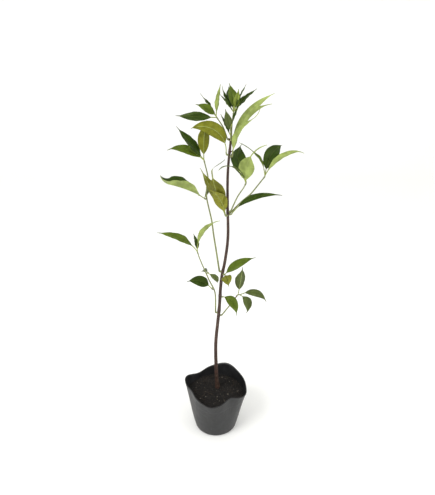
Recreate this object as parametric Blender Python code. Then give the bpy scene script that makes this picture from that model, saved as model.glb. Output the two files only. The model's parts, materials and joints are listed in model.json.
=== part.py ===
# A young evergreen tree with opposite leaves, standing in a soft black nursery pot.
# Sizes are in millimetres and angles in degrees; the scene itself is in metres.
# Headings turn anticlockwise seen from above: 0 is the right, 90 the back, 270 the front.
# A rise of 90 points straight up.

import math
import random
from collections import namedtuple

import bmesh
import bpy
from mathutils import Vector

MM = 0.001
CLEARANCE = 0.3
SEED = 11

# Pot: a tapered tub whose rim is squeezed out of round.
POT_HEIGHT = 85.0
POT_RIM_RADIUS = 52.5
POT_BASE_RADIUS = 37.0
POT_CORNER = 4.5
POT_WALL = 1.0
POT_LIP = 1.0
POT_LIP_LEVEL = 0.97
POT_FLARE_POWER = 0.85
POT_SIDES = 48
POT_LEVELS = 9
DRAIN_HOLES = 6
DRAIN_RADIUS = 3.0
DRAIN_RING = 26.0
# Each dent or bulge: heading, half spread, outward shift and upward shift at the rim.
POT_DENTS = (
    (67, 24, 2.0, 8.0),
    (127, 18, -1.0, -6.5),
    (163, 15, 4.5, 2.5),
    (208, 20, -5.5, 3.0),
    (262, 19, 3.0, -5.0),
    (300, 14, -4.0, 4.0),
    (336, 18, 4.0, -3.0),
)

# Soil: fills the pot to a little under the rim.
SOIL_TOP = 68.0
SOIL_ROUGHNESS = 1.2
SOIL_RINGS = 7
SOIL_COLLAR = 9.0
SOIL_SHOULDER = 6.0

# Trunk: height above the base, shift to the right, shift to the back.
TRUNK_ROUTE = (
    (68, 3, 12),
    (100, 1, 10),
    (163, 0, 6),
    (205, 3, 4),
    (240, 6, 2),
    (291, 9, 0),
    (327, 15, 0),
    (367, 19, 0),
    (417, 18, 0),
    (468, 18, 0),
    (516, 22, 0),
)
TRUNK_FOOT_RADIUS = 3.2
TRUNK_TIP_RADIUS = 1.7
FLARE_RADIUS = 1.6
FLARE_HEIGHT = 9.0
TRUNK_SIDES = 12
TRUNK_STATIONS = 44
TRUNK_NODES = (234, 262, 306, 405, 497, 514)
NODE_SWELL = 0.3
NODE_HALF_LENGTH = 4.0

# A bough leaves a limb at a height and heading, follows its route and tapers to its tip.
Bough = namedtuple("Bough", "limb height heading route radius tip_radius")
BOUGHS = {
    "low_left_bough": Bough(
        "trunk", 230, 190, ((-1, -5, 271), (-10, -8, 295), (-23, -12, 331), (-27, -14, 345)), 1.2, 0.8),
    "long_left_bough": Bough(
        "trunk", 306, 185,
        ((1, 1, 342), (-3, 4, 368), (-6, 8, 390), (-13, 11, 423), (-13, 12, 440), (-11, 12, 455), (-16, 12, 479)),
        1.4, 0.9),
    "low_right_bough": Bough("trunk", 225, 355, ((21, -3, 244), (28, -5, 255), (34, -6, 266)), 1.1, 0.9),
    "inner_right_bough": Bough("trunk", 407, 330, ((32, -6, 431), (40, -9, 445), (43, -12, 452)), 1.1, 0.8),
    "outer_right_bough": Bough("trunk", 404, 15, ((38, 4, 420), (52, 8, 431), (63, 11, 444), (72, 14, 455)), 1.2, 0.9),
    "top_left_bough": Bough("trunk", 513, 180, ((11, 2, 530), (3, 4, 542)), 1.0, 0.8),
}
LEADER_ROUTE = ((22.3, 0, 516.3), (23, 1, 535), (25, 3, 549))
LEADER_RADIUS = 1.2
LEADER_TIP_RADIUS = 0.9
BOUGH_SIDES = 8
BOUGH_STATION_LENGTH = 6.0
BOUGH_ELBOW = 1.5
STEM_ELBOW = 0.8
STEM_STATION_LENGTH = 1.5
STEM_TAPER = 0.85

# A leaf: where it points, its size, how it curves, how it is turned about its midrib.
# Bend and swing change the rise and the heading from its foot to its tip.
# Curl and veer do the same over its last quarter.
# Petiole and tail are the shares of the length taken by the stalk and by the narrow drip tip.
Leaf = namedtuple(
    "Leaf", "heading rise length width bend swing roll fold curl veer petiole tail",
    defaults=(-10, 0, 0, 18, 0, 0, 0.14, 0.12))
LEAF_STATIONS = (0.0, 0.06, 0.2, 0.36, 0.52, 0.66, 0.78, 0.89, 1.0)
LEAF_THICKNESS = 1.0
LEAF_EDGE = 0.55
PETIOLE_WIDTH = 1.5
DRIP_TIP_WIDTH = 1.2
CURL_START = 0.75
CURVE_STEPS = 48
# Powers that set how fast a blade widens from its foot and how full its outline is.
BLADE_WIDENING = 0.85
BLADE_FULLNESS = 0.9
# A leaf's edges ripple in opposite ways: depth in millimetres, and turn of phase over the blade.
WAVE_DEPTH = (0.2, 0.8)
WAVE_TURN = 12.0
PETIOLE_SPREAD = 0.1

# A mass: the limb that bears it, the height on it (none at the limb's tip), the heading, rise,
# length and radius of its stem, and its leaves from the foot of the stem to its tip.
Mass = namedtuple("Mass", "limb height heading rise stem radius leaves")
MASSES = {
    "top_leaves": Mass("top_bough", None, 60, 78, 5, 0.9, (
        Leaf(205, 52, 33, 8, bend=-5, roll=-45),
        Leaf(22, 50, 46, 11, bend=-20, roll=15),
        Leaf(155, 45, 39, 9, bend=35),
        Leaf(30, 62, 40, 8, bend=0, swing=-10),
        Leaf(50, 58, 30, 9, bend=25, roll=30),
        Leaf(118, 50, 39, 14, bend=-5, swing=-25, roll=10),
        Leaf(95, 68, 39, 14, bend=-15, swing=30),
    )),
    "fork_leaves": Mass("trunk", 513, 265, 82, 21, 1.0, (
        Leaf(160, 63, 33, 8, bend=0, roll=-15),
        Leaf(175, 76, 32, 11, bend=0, roll=-75),
        Leaf(15, 72, 48, 7, bend=-10),
    )),
    "top_left_leaves": Mass("top_left_bough", None, 150, 60, 4, 0.8, (
        Leaf(172, 0, 61, 14, bend=0, swing=-15, roll=-60),
        Leaf(143, 50, 41, 8, bend=-5, swing=10, roll=5),
        Leaf(197, 48, 36, 12, bend=-36, swing=10, roll=-75),
        Leaf(0, 86, 43, 8, bend=-8, roll=-50),
    )),
    "upper_left_leaf": Mass("trunk", 492, 195, 70, 5, 1.1, (
        Leaf(202, 92, 73, 20, bend=-116, swing=-20, roll=85, fold=10, petiole=0.18, tail=0.04),
    )),
    "upper_right_leaves": Mass("trunk", 490, 345, 70, 6, 1.4, (
        Leaf(318, 84, 86, 14, bend=-64, swing=30, roll=-25, fold=42, curl=70, tail=0.3),
        Leaf(40, 84, 107, 12, bend=-60, swing=-50, roll=-100, tail=0.06),
        Leaf(47, 88, 98, 10, bend=-83, swing=-40, roll=-100),
    )),
    "high_left_leaves": Mass("long_left_bough", None, 150, 75, 4, 0.9, (
        Leaf(160, 42, 60, 14, bend=-48, swing=55, roll=-60, curl=-15),
        Leaf(167, 50, 62, 17, bend=-2, roll=-30),
        Leaf(268, 88, 62, 18, bend=-32, swing=30),
    )),
    "left_node_leaves": Mass("long_left_bough", 423, 200, 45, 3, 0.9, (
        Leaf(212, 39, 82, 32, bend=-31, swing=-28, fold=54, curl=74, tail=-0.06),
        Leaf(75, 32, 33, 7, bend=-15, roll=60),
    )),
    "whorl_left_leaves": Mass("trunk", 401, 225, 60, 6, 1.5, (
        Leaf(252, 66, 70, 19, bend=-34, swing=-24, roll=40, fold=12),
        Leaf(200, 64, 85, 17, bend=-3, swing=7, roll=45),
        Leaf(233, 60, 126, 24, bend=-14, swing=44, roll=15, curl=-25, veer=150, tail=0.42),
    )),
    "whorl_right_leaf": Mass("trunk", 402, 345, 25, 4, 1.1, (
        Leaf(337, 57, 87, 10, bend=-64, swing=13, roll=60, fold=30, petiole=0.22),
    )),
    "inner_right_leaves": Mass("inner_right_bough", None, 320, 75, 4, 0.9, (
        Leaf(183, 76, 66, 8, bend=-98, swing=61, roll=-30, tail=0.5),
        Leaf(150, 66, 69, 24, bend=-44, swing=-98, roll=-5),
        Leaf(318, 103, 73, 24, bend=-87, swing=6, roll=-60, petiole=0.05, tail=0.48),
    )),
    "outer_right_leaves": Mass("outer_right_bough", None, 60, 65, 4, 0.9, (
        Leaf(200, 86, 68, 10, bend=-76, swing=-60, roll=-15, tail=0.4),
        Leaf(15, 64, 72, 10, bend=-58, swing=-48, roll=-70, fold=30, curl=-30),
        Leaf(62, 75, 61, 22, bend=-70, swing=-20, roll=35, tail=0.06),
    )),
    "middle_leaves": Mass("trunk", 303, 315, 30, 3, 1.3, (
        Leaf(288, 6, 36, 17, bend=-20, swing=-17, roll=20),
        Leaf(5, 50, 57, 14, bend=-46, swing=8, roll=50, petiole=0.08),
    )),
    "low_trunk_leaf": Mass("trunk", 261, 340, 20, 3, 1.1, (
        Leaf(338, 0, 44, 16, bend=-48, swing=-75, roll=35, petiole=0.06),
    )),
    "low_right_leaves": Mass("low_right_bough", None, 345, 22, 8, 0.9, (
        Leaf(292, 72, 57, 18, bend=10, swing=11, roll=-15, fold=25, petiole=0.24),
        Leaf(342, -20, 42, 14, bend=-5, swing=-115, roll=20),
        Leaf(4, 26, 50, 12, bend=-95, roll=60),
    )),
    "low_left_leaf": Mass("low_left_bough", 281, 200, 35, 3, 0.9, (
        Leaf(192, 54, 46, 18, bend=-60, swing=14, roll=-60),
    )),
    "left_middle_leaves": Mass("low_left_bough", 308, 350, 20, 3, 0.9, (
        Leaf(346, -20, 35, 9, bend=30, swing=-96, roll=30),
        Leaf(108, -8, 48, 9, bend=-35, roll=-33),
    )),
    "low_left_leaves": Mass("low_left_bough", None, 180, 80, 3, 0.8, (
        Leaf(95, 42, 34, 8, bend=-13, swing=20, roll=20),
        Leaf(215, 60, 74, 13, bend=-64, swing=-55, roll=-35, petiole=0.22),
        Leaf(20, 90, 73, 11, bend=-73, swing=-70, roll=-45, petiole=0.2, tail=0.25),
    )),
}

# Colour, roughness and metallic value of each finish.
FINISHES = {
    "pot_plastic": ((0.030, 0.031, 0.034), 0.42, 0.0),
    "soil_mix": ((0.018, 0.014, 0.010), 0.95, 0.0),
    "dark_bark": ((0.050, 0.022, 0.016), 0.65, 0.0),
    "green_bark": ((0.160, 0.190, 0.060), 0.55, 0.0),
    "leaf_green": ((0.070, 0.130, 0.020), 0.38, 0.0),
}


def clear_scene():
    for old in list(bpy.data.objects):
        bpy.data.objects.remove(old, do_unlink=True)


def finish(name):
    colour, roughness, metallic = FINISHES[name]
    material = bpy.data.materials.new(name)
    material.use_nodes = True
    shader = material.node_tree.nodes["Principled BSDF"]
    shader.inputs["Base Color"].default_value = (*colour, 1.0)
    shader.inputs["Roughness"].default_value = roughness
    shader.inputs["Metallic"].default_value = metallic
    material.diffuse_color = (*colour, 1.0)
    return material


def direction(heading, rise):
    h, r = math.radians(heading), math.radians(rise)
    return Vector((math.cos(r) * math.cos(h), math.cos(r) * math.sin(h), math.sin(r)))


def lofted(name, rings, material, creased=False):
    # Skins a list of rings with equal point counts and closes both ends.
    # A creased blade is skinned in triangles that run alike on its upper side and its under side.
    count = len(rings[0])
    points = [point * MM for ring in rings for point in ring]
    faces = [tuple(reversed(range(count)))]
    for k in range(len(rings) - 1):
        low, high = k * count, (k + 1) * count
        for i in range(count):
            j = (i + 1) % count
            if not creased:
                faces.append((low + i, low + j, high + j, high + i))
            elif i % 3 == 1:
                faces += [(low + i, low + j, high + j), (low + i, high + j, high + i)]
            else:
                faces += [(low + i, low + j, high + i), (low + j, high + j, high + i)]
    faces.append(tuple(range(len(points) - count, len(points))))
    mesh = bpy.data.meshes.new(name)
    mesh.from_pydata(points, [], faces)
    mesh.shade_smooth()
    mesh.set_sharp_from_angle(angle=math.radians(40))
    piece = bpy.data.objects.new(name, mesh)
    bpy.context.scene.collection.objects.link(piece)
    mesh.materials.append(material)
    return piece


# Limbs

def curved(points, step):
    # A smooth curve through the points, sampled about every step of its length.
    ends = [points[0] * 2 - points[1], *points, points[-1] * 2 - points[-2]]
    route = []
    for before, start, end, after in zip(ends, ends[1:], ends[2:], ends[3:]):
        pieces = max(1, round((end - start).length / step))
        for k in range(pieces):
            t = k / pieces
            route.append(0.5 * (2 * start + (end - before) * t
                                + (2 * before - 5 * start + 4 * end - after) * t ** 2
                                + (3 * start - before - 3 * end + after) * t ** 3))
    return route + [points[-1]]


def tube_rings(route, radii, sides):
    # Rings square to the route, turned as little as possible from one to the next.
    rings = []
    across = None
    for k, (centre, radius) in enumerate(zip(route, radii)):
        along = (route[min(k + 1, len(route) - 1)] - route[max(k - 1, 0)]).normalized()
        across = across or along.orthogonal()
        across = (across - along * across.dot(along)).normalized()
        other = along.cross(across)
        turns = [2 * math.pi * i / sides for i in range(sides)]
        rings.append([centre + radius * (across * math.cos(a) + other * math.sin(a)) for a in turns])
    return rings


Limb = namedtuple("Limb", "route radii")


def trunk_limb():
    points = [Vector((x, y, z)) for z, x, y in TRUNK_ROUTE]
    foot, top = points[0].z, points[-1].z
    route = curved(points, (top - foot) / TRUNK_STATIONS)
    radii = []
    for point in route:
        height = point.z - foot
        radius = TRUNK_FOOT_RADIUS + (TRUNK_TIP_RADIUS - TRUNK_FOOT_RADIUS) * height / (top - foot)
        radius += FLARE_RADIUS * math.exp(-height / FLARE_HEIGHT)
        for node in TRUNK_NODES:
            radius += NODE_SWELL * math.exp(-((point.z - node) / NODE_HALF_LENGTH) ** 2)
        radii.append(radius)
    route[0].z = foot + CLEARANCE
    return Limb(route, radii)


def trunk_piece(limb, material):
    # The trunk's skin, cut flat where it meets the soil.
    rings = tube_rings(limb.route, limb.radii, TRUNK_SIDES)
    for point in rings[0]:
        point.z = limb.route[0].z
    return lofted("trunk", rings, material)


def place_on(limb, height, heading):
    # A point just clear of the limb's side, and the way straight out from it there.
    nearest = min(range(len(limb.route) - 1), key=lambda k: abs(limb.route[k].z + limb.route[k + 1].z - 2 * height))
    low, high = limb.route[nearest], limb.route[nearest + 1]
    along = (high - low).normalized()
    share = min(1.0, max(0.0, (height - low.z) / (high.z - low.z)))
    radius = max(limb.radii[max(0, nearest - 1):nearest + 3])
    facing = direction(heading, 0)
    out = (facing - along * facing.dot(along)).normalized()
    return low.lerp(high, share) + out * (radius + CLEARANCE), out


def bough_limb(bough, limbs):
    foot, out = place_on(limbs[bough.limb], bough.height, bough.heading)
    elbow = foot + out * bough.radius
    onward = elbow + (out + Vector((0, 0, 0.5))).normalized() * BOUGH_ELBOW
    route = [foot, elbow] + curved([onward] + [Vector(p) for p in bough.route], BOUGH_STATION_LENGTH)
    return tapered(route, bough.radius, bough.tip_radius)


def tapered(route, start, end):
    last = len(route) - 1
    return Limb(route, [start + (end - start) * k / last for k in range(last + 1)])


# Leaves

def leaf_route(root, leaf):
    # Centre line of a leaf, with its direction, upper side and right side at each step.
    frames = []
    place = root.copy()
    step = leaf.length / CURVE_STEPS
    for k in range(CURVE_STEPS + 1):
        t = k / CURVE_STEPS
        late = max(0.0, (t - CURL_START) / (1 - CURL_START))
        heading = leaf.heading + leaf.swing * t + leaf.veer * late
        rise = leaf.rise + leaf.bend * t + leaf.curl * late
        along = direction(heading, rise)
        upper = direction(heading, rise + 90)
        right = along.cross(upper)
        roll = math.radians(leaf.roll)
        frames.append((place.copy(), along, upper * math.cos(roll) + right * math.sin(roll),
                       right * math.cos(roll) - upper * math.sin(roll)))
        place += along * step
    return frames


def blade_share(t, tail):
    # Share of the full width along the blade: quick to widen, then a long drip tip.
    end = 1 - tail
    return math.sin(math.pi * (t / end) ** BLADE_WIDENING) ** BLADE_FULLNESS if t < end else 0.0


def leaf_rings(root, leaf, chance):
    # Six points a ring: both edges and the midrib, on the upper side and the under side.
    petiole = leaf.petiole * chance.uniform(1 - PETIOLE_SPREAD, 1 + PETIOLE_SPREAD)
    wave_depth = chance.uniform(*WAVE_DEPTH)
    wave_start = chance.uniform(0, 2 * math.pi)
    frames = leaf_route(root, leaf)
    stations = [0.0, petiole * 0.6] + [petiole + (1 - petiole) * t for t in LEAF_STATIONS]
    rings = []
    for station in stations:
        place, along, upper, right = frames[round(station * CURVE_STEPS)]
        blade = max(0.0, (station - petiole) / (1 - petiole))
        share = blade_share(blade, leaf.tail)
        narrow = PETIOLE_WIDTH + (DRIP_TIP_WIDTH - PETIOLE_WIDTH) * blade
        half = max(narrow, leaf.width * share) / 2
        lift = math.radians(leaf.fold) * share
        thick = LEAF_THICKNESS + (PETIOLE_WIDTH - LEAF_THICKNESS) * (1 - share) * (1 - blade)
        edge = LEAF_EDGE + (thick - LEAF_EDGE) * (1 - share)
        wave = wave_depth * share * math.sin(wave_start + WAVE_TURN * blade)
        out = right * (half * math.cos(lift))
        raised = upper * (half * math.sin(lift))
        left_edge = place - out + raised + upper * wave
        right_edge = place + out + raised - upper * wave
        rings.append([
            left_edge + upper * (edge / 2),
            left_edge - upper * (edge / 2),
            place - upper * (thick / 2),
            right_edge - upper * (edge / 2),
            right_edge + upper * (edge / 2),
            place + upper * (thick / 2),
        ])
    return rings


# Masses of leaves

def mass_stem(mass, limbs):
    limb = limbs[mass.limb]
    lean = direction(mass.heading, mass.rise)
    if mass.height is None:
        out = (limb.route[-1] - limb.route[-2]).normalized()
        foot = limb.route[-1] + out * CLEARANCE
    else:
        foot, out = place_on(limb, mass.height, mass.heading)
    elbow = foot + out * mass.radius
    onward = elbow + (out + lean).normalized() * STEM_ELBOW
    return [foot, elbow] + curved([onward, elbow + lean * (mass.stem - mass.radius)], STEM_STATION_LENGTH)


def leaf_roots(mass, route):
    # The leaves one after another up the stem.
    last = len(mass.leaves) - 1
    for k, leaf in enumerate(mass.leaves):
        share = 0.9 if last == 0 else 0.4 + 0.5 * k / last
        place = share * (len(route) - 1)
        low = min(int(place), len(route) - 2)
        yield k, leaf, route[low].lerp(route[low + 1], place - low)


def largest_piece(mesh):
    # Keeps the mesh's largest connected piece: scraps and closed hollows go.
    work = bmesh.new()
    work.from_mesh(mesh)
    left = set(work.verts)
    pieces = []
    while left:
        piece, edge = set(), [left.pop()]
        while edge:
            vert = edge.pop()
            piece.add(vert)
            near = {e.other_vert(vert) for e in vert.link_edges} & left
            left -= near
            edge.extend(near)
        pieces.append(piece)
    pieces.sort(key=len)
    spare = [vert for piece in pieces[:-1] for vert in piece]
    bmesh.ops.delete(work, geom=spare, context="VERTS")
    work.to_mesh(mesh)
    work.free()


def leaf_mass(name, mass, limbs, number, material):
    # The stem with every leaf's foot sunk in it, joined into one solid.
    route = mass_stem(mass, limbs)
    stem_limb = tapered(route, mass.radius, mass.radius * STEM_TAPER)
    stem = lofted(name, tube_rings(stem_limb.route, stem_limb.radii, BOUGH_SIDES), material)
    leaves = bpy.data.collections.new(name + "_leaves")
    bpy.context.scene.collection.children.link(leaves)
    for k, leaf, root in leaf_roots(mass, route):
        chance = random.Random(SEED + 100 * number + k)
        blade = lofted(name + "_blade", leaf_rings(root, leaf, chance), material, creased=True)
        bpy.context.scene.collection.objects.unlink(blade)
        leaves.objects.link(blade)
    union = stem.modifiers.new("joined", "BOOLEAN")
    union.operation = "UNION"
    union.operand_type = "COLLECTION"
    union.collection = leaves
    union.solver = "EXACT"
    evaluated = stem.evaluated_get(bpy.context.evaluated_depsgraph_get())
    joined = bpy.data.meshes.new_from_object(evaluated)
    stem.modifiers.clear()
    stem.data = joined
    joined.name = name
    largest_piece(joined)
    for blade in list(leaves.objects):
        bpy.data.objects.remove(blade, do_unlink=True)
    bpy.data.collections.remove(leaves)
    return stem


# Pot and soil

def dent(heading):
    # Outward and upward shift of the rim at a heading, summed over all the dents.
    outward = upward = 0.0
    for centre, spread, out, up in POT_DENTS:
        away = (heading - centre + 180) % 360 - 180
        weight = math.exp(-(away / spread) ** 2)
        outward += out * weight
        upward += up * weight
    return outward, upward


def wall_point(heading, level, inset):
    # A point of the wall: level 0 is the top of the base corner and 1 the rim.
    outward, upward = dent(heading)
    give = level ** 2
    height = POT_CORNER + (POT_HEIGHT + upward * give - POT_CORNER) * level
    radius = POT_BASE_RADIUS + (POT_RIM_RADIUS - POT_BASE_RADIUS) * level ** POT_FLARE_POWER + outward * give
    return direction(heading, 0) * (radius - inset) + Vector((0, 0, height))


def headings():
    return [360 * i / POT_SIDES for i in range(POT_SIDES)]


def pot(material):
    corner = [
        (POT_BASE_RADIUS - POT_CORNER, 0.0),
        (POT_BASE_RADIUS - POT_CORNER * 0.3, POT_CORNER * 0.3),
    ]
    rings = [[direction(h, 0) * radius + Vector((0, 0, z)) for h in headings()] for radius, z in corner]
    levels = [k / POT_LEVELS for k in range(POT_LEVELS + 1)]
    rings += [[wall_point(h, level, 0.0) for h in headings()] for level in levels[:-1]]
    lip = Vector((0, 0, POT_LIP))
    rings.append([wall_point(h, POT_LIP_LEVEL, 0.0) for h in headings()])
    rings.append([wall_point(h, POT_LIP_LEVEL, -POT_LIP) + lip * 0.4 for h in headings()])
    rings.append([wall_point(h, 1.0, -POT_LIP) - lip * 0.3 for h in headings()])
    rings.append([wall_point(h, 1.0, POT_WALL * 0.4) for h in headings()])
    rings += [[wall_point(h, level, POT_WALL) for h in headings()] for level in reversed(levels[:-1])]
    inner = POT_BASE_RADIUS - POT_CORNER
    rings.append([direction(h, 0) * inner + Vector((0, 0, POT_WALL)) for h in headings()])
    body = lofted("pot", rings, material)
    for k in range(DRAIN_HOLES):
        bpy.ops.mesh.primitive_cylinder_add(vertices=12, radius=DRAIN_RADIUS * MM, depth=6 * POT_WALL * MM)
        drill = bpy.context.object
        drill.location = direction(360 * k / DRAIN_HOLES, 0) * DRAIN_RING * MM
        drill.hide_render = True
        drill.display_type = "WIRE"
        drill.name = "drain_drill_%d" % (k + 1)
        hole = body.modifiers.new("drain_%d" % (k + 1), "BOOLEAN")
        hole.operation = "DIFFERENCE"
        hole.object = drill
    return body


def soil(material):
    chance = random.Random(SEED)
    inset = POT_WALL + CLEARANCE
    inner = POT_BASE_RADIUS - POT_CORNER - CLEARANCE
    floor = POT_WALL + CLEARANCE
    rings = [[direction(h, 0) * inner + Vector((0, 0, floor)) for h in headings()]]
    levels = [k / POT_LEVELS for k in range(POT_LEVELS)]
    for level in levels:
        ring = [wall_point(h, level, inset) for h in headings()]
        if min(point.z for point in ring) > SOIL_TOP - SOIL_SHOULDER:
            break
        rings.append(ring)
    foot = Vector((TRUNK_ROUTE[0][1], TRUNK_ROUTE[0][2], SOIL_TOP))
    rim = []
    for h in headings():
        level = (SOIL_TOP - POT_CORNER) / (POT_HEIGHT + dent(h)[1] * 0.6 - POT_CORNER)
        point = wall_point(h, level, inset + CLEARANCE)
        rim.append(Vector((point.x, point.y, SOIL_TOP)))
    collar = [foot + direction(h, 0) * SOIL_COLLAR for h in headings()]
    for k in range(SOIL_RINGS + 1):
        share = k / SOIL_RINGS
        ring = [start.lerp(end, share) for start, end in zip(rim, collar)]
        if 0 < k < SOIL_RINGS:
            for point in ring:
                point.z += SOIL_ROUGHNESS * chance.uniform(-1, 1)
        rings.append(ring)
    return lofted("soil", rings, material)


def build():
    clear_scene()
    materials = {name: finish(name) for name in FINISHES}
    limbs = {"trunk": trunk_limb()}
    pot(materials["pot_plastic"])
    soil(materials["soil_mix"])
    trunk_piece(limbs["trunk"], materials["dark_bark"])
    for name, bough in BOUGHS.items():
        limbs[name] = bough_limb(bough, limbs)
    leader = curved([Vector(p) for p in LEADER_ROUTE], BOUGH_STATION_LENGTH)
    limbs["top_bough"] = tapered(leader, LEADER_RADIUS, LEADER_TIP_RADIUS)
    for name, limb in limbs.items():
        if name != "trunk":
            lofted(name, tube_rings(limb.route, limb.radii, BOUGH_SIDES), materials["green_bark"])
    for number, (name, mass) in enumerate(MASSES.items()):
        leaf_mass(name, mass, limbs, number, materials["leaf_green"])


build()
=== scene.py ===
# A young evergreen tree with opposite leaves, standing in a soft black nursery pot.
# Lengths are in millimetres and angles in degrees until a mesh is made, which is in metres.
# Headings turn anticlockwise seen from above: 0 is the right, 90 the back, 270 the front.

import json
import math
import random
from collections import namedtuple

import bpy
import numpy as np
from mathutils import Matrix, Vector, noise

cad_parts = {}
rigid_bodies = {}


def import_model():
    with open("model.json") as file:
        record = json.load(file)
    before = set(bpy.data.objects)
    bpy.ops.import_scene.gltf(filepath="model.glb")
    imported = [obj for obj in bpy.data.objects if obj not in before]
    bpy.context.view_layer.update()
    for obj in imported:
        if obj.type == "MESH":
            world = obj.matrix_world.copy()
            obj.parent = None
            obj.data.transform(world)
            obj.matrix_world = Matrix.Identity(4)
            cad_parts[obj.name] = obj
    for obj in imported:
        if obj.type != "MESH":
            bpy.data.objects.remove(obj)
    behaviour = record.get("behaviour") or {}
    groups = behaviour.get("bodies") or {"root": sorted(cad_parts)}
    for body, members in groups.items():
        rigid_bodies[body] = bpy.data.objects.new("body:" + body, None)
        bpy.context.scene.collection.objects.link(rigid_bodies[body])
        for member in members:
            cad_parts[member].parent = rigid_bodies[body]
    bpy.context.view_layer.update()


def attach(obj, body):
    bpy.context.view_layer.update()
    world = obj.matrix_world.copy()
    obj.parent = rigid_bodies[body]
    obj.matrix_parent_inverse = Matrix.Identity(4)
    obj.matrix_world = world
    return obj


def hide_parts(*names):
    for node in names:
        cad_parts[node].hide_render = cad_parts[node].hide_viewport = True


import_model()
mm = 0.001
clearance = 0.3
seed = 11


# Shader building

class Wire:
    # An output in a material's node tree. Sums on it add Math nodes.
    def __init__(self, finish, socket):
        self.finish = finish
        self.socket = socket

    def maths(self, operation, *values):
        return self.finish.node("ShaderNodeMath", {"operation": operation}, dict(enumerate(values)))

    def __add__(self, other):
        return self.maths("ADD", self, other)

    def __radd__(self, other):
        return self.maths("ADD", other, self)

    def __sub__(self, other):
        return self.maths("SUBTRACT", self, other)

    def __rsub__(self, other):
        return self.maths("SUBTRACT", other, self)

    def __mul__(self, other):
        return self.maths("MULTIPLY", self, other)

    def __rmul__(self, other):
        return self.maths("MULTIPLY", other, self)

    def between(self, low, high):
        # 0 below low, 1 above high, smooth between.
        return self.finish.node("ShaderNodeMapRange", {"interpolation_type": "SMOOTHSTEP"},
                                {"Value": self, "From Min": low, "From Max": high})


class Finish:
    # A material and its shader.
    def __init__(self, name, **constants):
        self.material = bpy.data.materials.new(name)
        self.material.use_nodes = True
        self.tree = self.material.node_tree
        self.shader = self.tree.nodes["Principled BSDF"]
        for socket, value in constants.items():
            self.feed(self.shader.inputs[socket.replace("_", " ")], value)

    def feed(self, socket, value):
        if isinstance(value, Wire):
            self.tree.links.new(value.socket, socket)
        elif isinstance(value, tuple) and len(value) == 3 and len(socket.default_value) == 4:
            socket.default_value = (*value, 1.0)
        else:
            socket.default_value = value

    def node(self, kind, settings, values, output=0):
        made = self.tree.nodes.new(kind)
        for key, value in settings.items():
            setattr(made, key, value)
        for key, value in values.items():
            self.feed(made.inputs[key], value)
        return Wire(self, made.outputs[output])

    def place(self, stretch=(1.0, 1.0, 1.0)):
        spot = self.node("ShaderNodeTexCoord", {}, {}, "Object")
        return self.node("ShaderNodeMapping", {}, {"Vector": spot, "Scale": stretch})

    def noise(self, spot, perMetre, detail=3.0, roughness=0.55):
        return self.node("ShaderNodeTexNoise", {}, {
            "Vector": spot, "Scale": perMetre, "Detail": detail, "Roughness": roughness})

    def mixed(self, share, first, second):
        return self.node("ShaderNodeMix", {"data_type": "RGBA"}, {0: share, 6: first, 7: second}, 2)

    def relief(self, height, distance, strength=1.0):
        bumped = self.node("ShaderNodeBump", {}, {
            "Height": height, "Distance": distance, "Strength": strength})
        self.feed(self.shader.inputs["Normal"], bumped)

    def wear(self, **varying):
        for socket, value in varying.items():
            self.feed(self.shader.inputs[socket.replace("_", " ")], value)


def tinted(colour, share):
    return tuple(channel * share for channel in colour)


# Mesh helpers

def direction(heading, rise):
    h, r = math.radians(heading), math.radians(rise)
    return Vector((math.cos(r) * math.cos(h), math.cos(r) * math.sin(h), math.sin(r)))


def solid(name, points, faces, finishes, nodes=(), faceFinish=None):
    # A smooth piece that rides with the plant and stands for the CAD nodes it is given.
    mesh = bpy.data.meshes.new(name)
    mesh.from_pydata([tuple(c * mm for c in p) for p in points], [], faces)
    mesh.shade_smooth()
    for finish in finishes:
        mesh.materials.append(finish.material)
    if faceFinish is not None:
        mesh.polygons.foreach_set("material_index", faceFinish)
    mesh.update()
    piece = bpy.data.objects.new(name, mesh)
    bpy.context.scene.collection.objects.link(piece)
    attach(piece, "root")
    if nodes:
        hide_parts(*nodes)
    return piece


def skin(rings, start=0):
    # Faces over a list of rings with equal point counts, closed at both ends.
    count = len(rings[0])
    faces = [tuple(start + i for i in reversed(range(count)))]
    for k in range(len(rings) - 1):
        low, high = start + k * count, start + (k + 1) * count
        for i in range(count):
            j = (i + 1) % count
            faces.append((low + i, low + j, high + j, high + i))
    top = start + (len(rings) - 1) * count
    return faces + [tuple(range(top, top + count))]


def curved(points, step):
    # A smooth curve through the points, sampled about every step of its length.
    ends = [points[0] * 2 - points[1], *points, points[-1] * 2 - points[-2]]
    route = []
    for before, start, end, after in zip(ends, ends[1:], ends[2:], ends[3:]):
        pieces = max(1, round((end - start).length / step))
        for k in range(pieces):
            t = k / pieces
            route.append(0.5 * (2 * start + (end - before) * t
                                + (2 * before - 5 * start + 4 * end - after) * t ** 2
                                + (3 * start - before - 3 * end + after) * t ** 3))
    return route + [points[-1]]


def tubeRings(route, radii, sides, relief=None):
    # Rings square to the route; relief(k, turn, point) is added to the radius.
    rings = []
    across = None
    for k, (centre, radius) in enumerate(zip(route, radii)):
        along = (route[min(k + 1, len(route) - 1)] - route[max(k - 1, 0)]).normalized()
        across = across or along.orthogonal()
        across = (across - along * across.dot(along)).normalized()
        other = along.cross(across)
        ring = []
        for i in range(sides):
            turn = 2 * math.pi * i / sides
            out = across * math.cos(turn) + other * math.sin(turn)
            extra = relief(k, turn, centre + out * radius) if relief else 0.0
            ring.append(centre + out * (radius + extra))
        rings.append(ring)
    return rings


# Limbs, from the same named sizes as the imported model

Limb = namedtuple("Limb", "route radii")
Bough = namedtuple("Bough", "limb height heading route radius tipRadius")

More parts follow.
